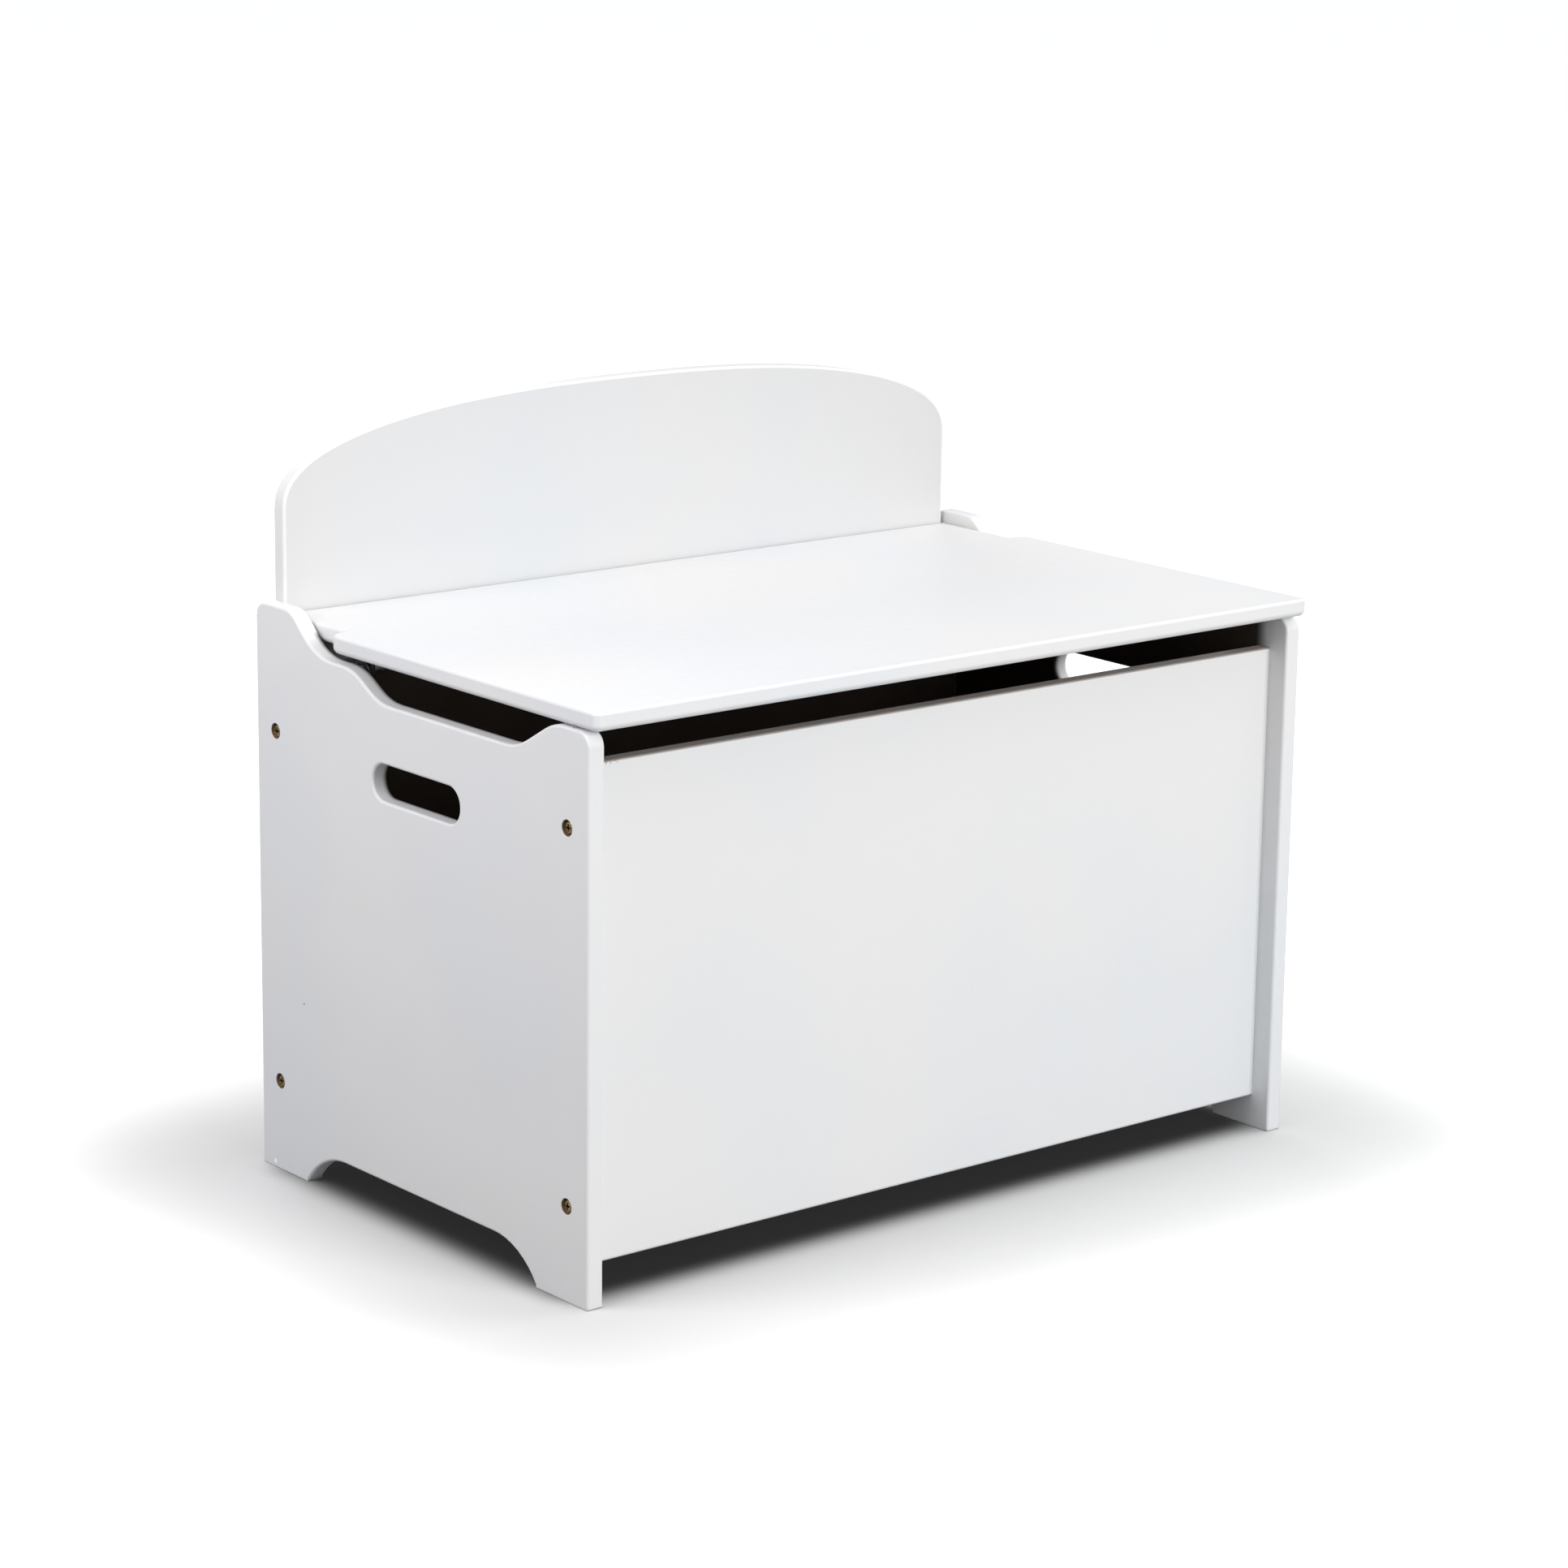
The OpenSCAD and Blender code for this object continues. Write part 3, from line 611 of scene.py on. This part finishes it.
class Board:
    """The finished mesh of one board, built ring by ring from the outlines of its CAD node."""

    def __init__(self, node, axis, side):
        self.axis = axis
        self.across = ((axis + 1) % 3, (axis + 2) % 3)
        low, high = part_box(node)
        self.low, self.high = low[axis], high[axis]
        self.side = side
        self.source = welded_copy(node)
        self.kinds = {
            face: kind_of(face, axis, self.low, self.high) for face in self.source.faces
        }
        self.mesh = bmesh.new()
        self.normal = {}

    def flat(self, corner):
        """A corner's place in the board's plane."""
        return Vector((corner.co[self.across[0]], corner.co[self.across[1]]))

    def place(self, flat, height):
        """The point over that place in the board's plane."""
        point = Vector((0.0, 0.0, 0.0))
        point[self.across[0]] = flat.x
        point[self.across[1]] = flat.y
        point[self.axis] = height
        return point

    def ring(self, outline, side, angle):
        """One ring of the arris: angle 0 lies on the wall, a quarter turn on the flat face."""
        plane = self.high if side > 0 else self.low
        points = [point for point, radius in outline]
        made = []
        for (point, radius), (offset, left) in zip(outline, left_normals(points)):
            inset = radius * (1.0 - math.cos(angle))
            depth = radius * (1.0 - math.sin(angle))
            at = self.place(point + offset * inset, plane - side * depth)
            corner = self.mesh.verts.new(at)
            facing = self.place(-left * math.cos(angle), side * math.sin(angle))
            self.normal[corner] = facing.normalized()
            made.append(corner)
        return made

    def strip(self, first, second):
        """A closed band of faces between two rings."""
        count = len(first)
        for index in range(count):
            after = (index + 1) % count
            corners = (first[index], first[after], second[after], second[index])
            self.mesh.faces.new(corners).material_index = ON_EDGE

    def arris(self, outline, side):
        """Rings from the wall up to the flat face. Returns the first and the last."""
        rings = []
        for step in range(ARRIS_STEPS + 1):
            rings.append(self.ring(outline, side, math.pi / 2 * step / ARRIS_STEPS))
        for first, second in zip(rings, rings[1:]):
            self.strip(first, second)
        return rings[0], rings[-1]

    def through(self, chain, radius_at):
        """An outline through the board, rounded on both faces. Returns its two flat-face rings."""
        points = [self.flat(corner) for corner in chain]
        tops = []
        walls = []
        for side in (1, -1):
            plane = self.high if side > 0 else self.low

            def radius_there(point, plane=plane):
                return radius_at(self.place(point, plane))

            outline = with_radii(round_corners(points, radius_there), radius_there)
            wall, top = self.arris(outline, side)
            walls.append(wall)
            tops.append(top)
        self.strip(walls[1], walls[0])
        return tops

    def recess(self, chain):
        """A drilled hole: its rim is eased and the rest is taken over from the node."""
        plane = self.high if self.side > 0 else self.low
        outline = [(self.flat(corner), RIM) for corner in chain]
        wall, top = self.arris(outline, self.side)
        known = dict(zip(chain, wall))
        for corner in wall:
            self.normal.pop(corner)
        waiting = [face for corner in chain for face in corner.link_faces]
        seen = set()
        ends = []
        while waiting:
            face = waiting.pop()
            if face in seen or self.kinds[face] != RECESS:
                continue
            seen.add(face)
            corners = []
            for corner in face.verts:
                if corner not in known:
                    known[corner] = self.mesh.verts.new(corner.co)
                corners.append(known[corner])
            self.mesh.faces.new(corners).material_index = ON_RAW
            for edge in face.edges:
                others = [other for other in edge.link_faces if other is not face]
                waiting.extend(others)
                on_plane = abs(edge.verts[0].co[self.axis] - plane) < NEAR
                if not on_plane and any(self.kinds[other] == FACE for other in others):
                    ends.append((known[edge.verts[0]], known[edge.verts[1]]))
        return top, ends

    def fill(self, rings, pairs, side):
        """The flat face between those rings and edges."""
        edges = []
        for ring in rings:
            for index, corner in enumerate(ring):
                edges.append(self.edge(ring[index - 1], corner))
        for first, second in pairs:
            edges.append(self.edge(first, second))
        facing = self.place(Vector((0.0, 0.0)), float(side))
        bmesh.ops.triangle_fill(self.mesh, use_beauty=True, edges=edges, normal=facing)

    def edge(self, first, second):
        """The edge between two corners, made if it isn't there."""
        found = self.mesh.edges.get((first, second))
        return found if found is not None else self.mesh.edges.new((first, second))

    def finish(self, node, materials, body):
        """The object: arrises shade by their own normals, drilled holes by the plain ones."""
        bmesh.ops.recalc_face_normals(self.mesh, faces=self.mesh.faces)
        for face in self.mesh.faces:
            face.smooth = True
        for edge in self.mesh.edges:
            own = all(corner in self.normal for corner in edge.verts)
            if not own and edge.calc_face_angle(0) > SHARP_ANGLE:
                edge.smooth = False
        facings = []
        self.mesh.normal_update()
        for face in self.mesh.faces:
            for corner in face.verts:
                known = self.normal.get(corner)
                plain = known is None or face.material_index == ON_RAW
                facings.append((0.0, 0.0, 0.0) if plain else tuple(known))
        data = bpy.data.meshes.new(node + "_mesh")
        self.mesh.to_mesh(data)
        data.normals_split_custom_set(facings)
        self.mesh.free()
        self.source.free()
        return new_piece(node, data, materials, body)


def board(node, axis, side, radius_at, materials, body):
    """A board with rounded arrises. side is the face whose drilled holes show."""
    made = Board(node, axis, side)
    plane = made.high if side > 0 else made.low
    tops = {1: [], -1: []}
    far_ends = []
    for kind, chain in face_loops(made.kinds, axis, plane, side):
        if kind == WALL:
            high_ring, low_ring = made.through(chain, radius_at)
            tops[1].append(high_ring)
            tops[-1].append(low_ring)
        else:
            rim, ends = made.recess(chain)
            tops[side].append(rim)
            far_ends.extend(ends)
    made.fill(tops[side], [], side)
    made.fill(tops[-side], far_ends, -side)
    return made.finish(node, materials, body)


def hardware(node, material, body, width):
    """A small metal, plastic or wooden piece with its sharp edges broken over that width."""
    mesh = welded_copy(node, HARDWARE_WELD)
    for face in mesh.faces:
        face.smooth = True
    data = bpy.data.meshes.new(node + "_mesh")
    mesh.to_mesh(data)
    mesh.free()
    for name in ("custom_normal", "UVMap"):  # these belong to the unwelded mesh
        if name in data.attributes:
            data.attributes.remove(data.attributes[name])
    piece = new_piece(node, data, [material], body)
    bevel = piece.modifiers.new("rounding", "BEVEL")
    bevel.width = width
    bevel.segments = 2
    bevel.limit_method = "ANGLE"
    bevel.angle_limit = SHARP_ANGLE
    bevel.use_clamp_overlap = True
    normals = piece.modifiers.new("normals", "WEIGHTED_NORMAL")
    normals.mode = "FACE_AREA"
    normals.keep_sharp = True
    return piece


def plain_radius(place):
    return ARRIS


def foot_radius(low):
    """Full arrises, and smaller ones round the small corners of the feet."""

    def radius(place):
        return FOOT_ARRIS if place.z - low.z < FOOT_CORNER else ARRIS

    return radius


def cross_panel_radius(low, high):
    """Full arrises along the top and bottom, tight ones at the ends that butt on the end panels."""

    def radius(place):
        at_end = min(place.x - low.x, high.x - place.x) < NEAR
        return TIGHT_ARRIS if at_end else ARRIS

    return radius


def tight_radius(place):
    return TIGHT_ARRIS


def lid_radius(high):
    """A soft front and sides, softer below than above, and a tight edge along the backrest."""

    def radius(place):
        if high.y - place.y < LID_REAR_CORNER:
            return LID_REAR_ARRIS
        if high.z - place.z < NEAR:
            return LID_TOP_ARRIS
        return LID_UNDER_ARRIS

    return radius


# ---- pieces ---------------------------------------------------------------------------------
def cavity_walls(behind_front, top):
    """The low and the high corner of the cavity, from that far behind the front panel."""
    front_low, front_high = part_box("front_panel")
    back_low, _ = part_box("back_panel")
    floor_low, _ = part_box("floor_board")
    low = Vector((front_low.x, front_high.y + behind_front, floor_low.z))
    high = Vector((front_high.x, back_low.y, top))
    return low, high


def end_panel_coat(raw):
    """Bare board in painted shade up to the seat, with two small marks on the outside of the left
    panel.
    """
    low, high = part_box("left_end_panel")
    _, lid_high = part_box("seat_lid")
    # Painted shade: on the end panels the dark inside reaches up to the lid's top, where the inner
    # faces lie in the lid's shadow.
    cavity = cavity_walls(END_PAINT_IN, lid_high.z)
    speck = Vector((low.x, high.y - SPECK_BACK, low.z + SPECK_UP))
    drip = Vector((low.x, high.y - DRIP_BACK, low.z + DRIP_UP))
    marks = [(speck, SPECK_RADIUS, DARK_SPECK), (drip, DRIP_RADIUS, WHITE_DRIP)]
    face = painted_face("painted_end_face", cavity, thin=END_PAINTED_SHADOW_FADE, specks=marks)
    edge = painted_arris("painted_end_arris", cavity=cavity, thin=END_PAINTED_SHADOW_FADE)
    return [face, edge, raw]


def front_panel_coat(cavity, raw):
    """Thin paint along the top edge, darkened as painted shade, chipped at its left end."""
    low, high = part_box("front_panel")
    thin_and_shade_above = high.z - THIN_BAND
    worn = Vector((low.x + WORN_IN, low.y + WORN_DEEP, high.z - WORN_DEEP))
    face = painted_face("painted_front_face", cavity, thin_and_shade_above=thin_and_shade_above)
    edge = painted_arris("painted_front_arris", [(worn, WORN_RADIUS)], thin_and_shade_above)
    return [face, edge, raw]


def lid_coat(edge, raw):
    """A filled nail hole shows in each rear corner."""
    _, lid_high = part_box("seat_lid")
    rest_low, rest_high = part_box("backrest")
    across, along = rest_high.x - FILLING_IN, rest_low.y - FILLING_FRONT
    fillings = [(side * across, along, lid_high.z) for side in (-1, 1)]
    return [painted_face("painted_lid_face", None, fillings), edge, raw]


def make_boards():
    front_low, front_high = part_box("front_panel")
    back_low, back_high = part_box("back_panel")
    end_low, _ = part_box("left_end_panel")
    _, lid_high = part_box("seat_lid")
    cavity = cavity_walls(0.0, front_high.z)
    raw = raw_board("raw_board")
    edge = painted_arris("painted_arris")
    end_coat = end_panel_coat(raw)
    front_coat = front_panel_coat(cavity, raw)
    back_coat = [painted_face("painted_face", cavity), edge, raw]
    rest_coat = [painted_face("painted_backrest_shade", tone=BACKREST_SHADE_TONE), edge, raw]
    brown = hardboard("hardboard")
    board("left_end_panel", X, -1, foot_radius(end_low), end_coat, "box")
    board("right_end_panel", X, 1, foot_radius(end_low), end_coat, "box")
    board("front_panel", Y, -1, cross_panel_radius(front_low, front_high), front_coat, "box")
    board("back_panel", Y, 1, cross_panel_radius(back_low, back_high), back_coat, "box")
    board("backrest", Y, 1, plain_radius, rest_coat, "box")
    board("seat_lid", Z, 1, lid_radius(lid_high), lid_coat(edge, raw), "lid")
    board("floor_board", Z, 1, tight_radius, [brown, brown, brown], "box")


def make_screws():
    left_low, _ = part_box("end_screws_left")
    _, right_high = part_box("end_screws_right")
    _, rest_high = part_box("backrest_screws")
    left = plated_screw("plated_screw_left", X, left_low.x, 1.0)
    right = plated_screw("plated_screw_right", X, right_high.x, -1.0)
    rear = plated_screw("plated_screw_rear", Y, rest_high.y, -1.0)
    fine = 0.14 * MM
    hardware("end_screws_left", left, "box", fine)
    hardware("end_screws_right", right, "box", fine)
    hardware("backrest_screws", rear, "box", fine)


def make_stay_and_hinge():
    bright = steel("bright_steel_turned", STEEL_DARK, STEEL_LIGHT, 0.18, 0.34, 900.0)
    rolled = (1.0, 1.0, 0.2)
    # Painted shade: the zinc-plated stay is coloured near black so that it reads as the shade under
    # the lid.
    shaded_zinc = steel("zinc_sheet_in_painted_shade", ZINC_SHADE_DARK, ZINC_SHADE_LIGHT, 0.28, 0.46, 420.0, rolled)
    milky = nylon("natural_nylon")
    pad = bumper_plastic("clear_bumper")
    for node in ("hinge_pin_left", "hinge_pin_right"):
        hardware(node, bright, "lid", 0.3 * MM)
    for node in ("hinge_bush_left", "hinge_bush_right"):
        hardware(node, milky, "box", 0.2 * MM)
    hardware("lid_bumpers", pad, "box", 0.25 * MM)
    hardware("stay_arm", shaded_zinc, "stay_arm", 0.35 * MM)
    hardware("stay_lid_bracket", shaded_zinc, "lid", 0.3 * MM)
    hardware("stay_wall_plate", shaded_zinc, "box", 0.3 * MM)
    hardware("stay_pivot_rivet", bright, "lid", 0.25 * MM)
    hardware("stay_bracket_screws", bright, "lid", 0.12 * MM)
    hardware("stay_plate_screws", bright, "box", 0.12 * MM)
    hardware("stay_stud", bright, "box", 0.25 * MM)
    hardware("stay_washer", milky, "box", 0.15 * MM)


def make_dowels():
    wood = beech("beech_dowel")
    for node in ("end_dowels_left", "end_dowels_right"):
        hardware(node, wood, "box", 0.6 * MM)


# ---- stage ----------------------------------------------------------------------------------
CAMERA_AZIMUTH = math.radians(39.406)
CAMERA_PITCH = math.radians(13.682)
CAMERA_ROLL = math.radians(0.773)
CAMERA_DISTANCE = 2.993
CAMERA_LENS = 103.05  # millimetres, on the sensor below
CAMERA_SENSOR = 36.0
CAMERA_AIM = Vector((-0.0018, 0.0014, -0.0003))  # from the middle of the object's box
FLOOR_SIZE = 30.0


def make_camera():
    """The photo's view: from the front left, looking a little down, rolled a little."""
    low, high = CAD_BOX
    aim = (low + high) / 2 + CAMERA_AIM
    level = math.cos(CAMERA_PITCH)
    east, north = math.sin(CAMERA_AZIMUTH), math.cos(CAMERA_AZIMUTH)
    ahead = Vector((east * level, north * level, -math.sin(CAMERA_PITCH)))
    flat_right = Vector((north, -east, 0.0))
    flat_up = flat_right.cross(ahead)
    right = flat_right * math.cos(CAMERA_ROLL) + flat_up * math.sin(CAMERA_ROLL)
    up = flat_up * math.cos(CAMERA_ROLL) - flat_right * math.sin(CAMERA_ROLL)
    data = bpy.data.cameras.new("camera")
    data.sensor_width = CAMERA_SENSOR
    data.lens = CAMERA_LENS
    data.clip_start = 0.05
    data.clip_end = 200.0
    camera = bpy.data.objects.new("camera", data)
    bpy.context.scene.collection.objects.link(camera)
    turn = Matrix((right, up, -ahead)).transposed()
    camera.matrix_world = Matrix.Translation(aim - ahead * CAMERA_DISTANCE) @ turn.to_4x4()
    bpy.context.scene.camera = camera


FLOOR_WHITE = (0.80, 0.80, 0.80)
FLOOR_BOUNCE = (0.28, 0.28, 0.285)
FLOOR_GLOW = 0.50  # away from the object, where the softboxes no longer reach
GLOW_FROM, GLOW_TO = 0.07, 0.30  # measured outward from the object
FLOOR_LEAST = 0.021  # so that the shade under the object is dark grey, not black
# Painted shadow: the floor's colour, not the lights, darkens under and round the object's footprint.
SHADE_IN = 24 * MM  # the shade deepens over this length inside the footprint
SHADE_OUT = 27 * MM  # and begins this far outside it
SHADE_CORE = 0.02  # the floor's white that is left well under the object
SHADE_RIM = 0.80  # and at the edge of its footprint
SHADE_REACH = 0.17  # that shade has gone this far outside it


def distance_outside(shader, half):
    """Distance from the object's footprint, 0 under it."""
    parts = []
    for index in (X, Y):
        away = shader.calc("ABSOLUTE", shader.axis(index), 0.0)
        away = shader.calc("SUBTRACT", away, half[index])
        away = shader.calc("MAXIMUM", away, 0.0)
        parts.append(shader.calc("MULTIPLY", away, away))
    return shader.calc("SQRT", shader.calc("ADD", parts[0], parts[1]), 0.0)


def under_share(shader):
    """1 well under the box, 0 outside its footprint, with soft edges and corners."""
    front_low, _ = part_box("front_panel")
    _, back_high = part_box("back_panel")
    low, high = CAD_BOX
    share = None
    for index, start, end in ((X, low.x, high.x), (Y, front_low.y, back_high.y)):
        at = shader.axis(index)
        from_start = shader.ramp(at, start - SHADE_OUT, start + SHADE_IN)
        to_end = shader.ramp(at, end - SHADE_IN, end + SHADE_OUT, 1.0, 0.0)
        both = shader.calc("MULTIPLY", from_start, to_end)
        share = both if share is None else shader.calc("MULTIPLY", share, both)
    return share


def floor_seen(shader):
    """What the camera sees: white that falls into a painted shadow under the object, and a glow far
    out.
    """
    away = distance_outside(shader, CAD_BOX[1])
    core = shader.ramp(under_share(shader), 0.0, 1.0, 1.0, SHADE_CORE)
    rim = shader.ramp(away, 0.0, SHADE_REACH, SHADE_RIM, 1.0)
    shade = shader.calc("MULTIPLY", core, rim)
    white = shader.tree.nodes.new("ShaderNodeBsdfDiffuse")
    shader.join(shader.blend(shade, (0.0, 0.0, 0.0), FLOOR_WHITE), white.inputs["Color"])
    glow = shader.tree.nodes.new("ShaderNodeEmission")
    strength = shader.ramp(away, GLOW_FROM, GLOW_TO, FLOOR_LEAST, FLOOR_GLOW)
    shader.join(strength, glow.inputs["Strength"])
    both = shader.tree.nodes.new("ShaderNodeAddShader")
    shader.join(white.outputs[0], both.inputs[0])
    shader.join(glow.outputs[0], both.inputs[1])
    return both.outputs[0]


def floor_material():
    """The light it sends back to the object is held down, as on a small sweep. Clear from below."""
    shader = Shader("studio_floor")
    nodes = shader.tree.nodes
    nodes.remove(shader.bsdf)
    bounced = nodes.new("ShaderNodeBsdfDiffuse")
    bounced.inputs["Color"].default_value = (*FLOOR_BOUNCE, 1.0)
    path = nodes.new("ShaderNodeLightPath")
    above = shader.pick(path.outputs["Is Camera Ray"], bounced.outputs[0], floor_seen(shader))
    clear = nodes.new("ShaderNodeBsdfTransparent")
    side = nodes.new("ShaderNodeNewGeometry")
    surface = shader.pick(side.outputs["Backfacing"], above, clear.outputs[0])
    shader.join(surface, shader.end.inputs["Surface"])
    return shader.material


def make_floor():
    data = bpy.data.meshes.new("floor_mesh")
    half = FLOOR_SIZE / 2
    corners = [(-half, -half, 0.0), (half, -half, 0.0), (half, half, 0.0), (-half, half, 0.0)]
    data.from_pydata(corners, [], [(0, 1, 2, 3)])
    floor = bpy.data.objects.new("studio_floor", data)
    bpy.context.scene.collection.objects.link(floor)
    data.materials.append(floor_material())


WORLD_SEEN = 1.05
WORLD_HORIZON = 0.50
WORLD_ZENITH = 0.69
WORLD_TINT = (0.985, 0.992, 1.0)


def make_world():
    """A white surround, brighter overhead. It lights a little less than it shows."""
    world = bpy.data.worlds.new("studio")
    world.use_nodes = True
    tree = world.node_tree
    tree.nodes.clear()
    end = tree.nodes.new("ShaderNodeOutputWorld")
    way = tree.nodes.new("ShaderNodeTexCoord")
    parts = tree.nodes.new("ShaderNodeSeparateXYZ")
    tree.links.new(way.outputs["Generated"], parts.inputs[0])
    height = tree.nodes.new("ShaderNodeMapRange")
    height.inputs["To Min"].default_value = WORLD_HORIZON
    height.inputs["To Max"].default_value = WORLD_ZENITH
    tree.links.new(parts.outputs[2], height.inputs["Value"])
    lit = tree.nodes.new("ShaderNodeBackground")
    lit.inputs["Color"].default_value = (*WORLD_TINT, 1.0)
    tree.links.new(height.outputs["Result"], lit.inputs["Strength"])
    seen = tree.nodes.new("ShaderNodeBackground")
    seen.inputs["Color"].default_value = (1.0, 1.0, 1.0, 1.0)
    seen.inputs["Strength"].default_value = WORLD_SEEN
    path = tree.nodes.new("ShaderNodeLightPath")
    which = tree.nodes.new("ShaderNodeMixShader")
    tree.links.new(path.outputs["Is Camera Ray"], which.inputs[0])
    tree.links.new(lit.outputs[0], which.inputs[1])
    tree.links.new(seen.outputs[0], which.inputs[2])
    tree.links.new(which.outputs[0], end.inputs["Surface"])
    bpy.context.scene.world = world


def softbox(name, place, size, power, tint):
    """A square soft light, size in metres and power in watts, that faces the object's middle."""
    data = bpy.data.lights.new(name, "AREA")
    data.shape = "SQUARE"
    data.size = size
    data.energy = power
    data.color = tint
    light = bpy.data.objects.new(name, data)
    bpy.context.scene.collection.objects.link(light)
    low, high = CAD_BOX
    toward = (low + high) / 2 - Vector(place)
    light.location = place
    light.rotation_mode = "QUATERNION"
    light.rotation_quaternion = toward.to_track_quat("-Z", "Y")
    light.visible_camera = False


def make_lights():
    softbox("front_softbox", (0.3, -3.3, 1.25), 1.6, 76.0, (1.0, 1.0, 0.99))
    softbox("left_softbox", (-1.15, 0.05, 0.95), 0.8, 8.4, (0.995, 0.975, 1.0))
    softbox("overhead_softbox", (1.1, -0.4, 2.0), 1.4, 14.0, (0.985, 0.992, 1.0))
    softbox("rear_softbox", (0.9, 3.0, 1.3), 1.6, 26.0, (1.0, 1.0, 1.0))


def set_view():
    """Colours are shown as they are, with no film look."""
    view = bpy.context.scene.view_settings
    view.view_transform = "Standard"
    view.look = "None"
    view.exposure = 0.0
    view.gamma = 1.0


make_boards()
make_screws()
make_stay_and_hinge()
make_dowels()
make_camera()
make_floor()
make_world()
make_lights()
set_view()
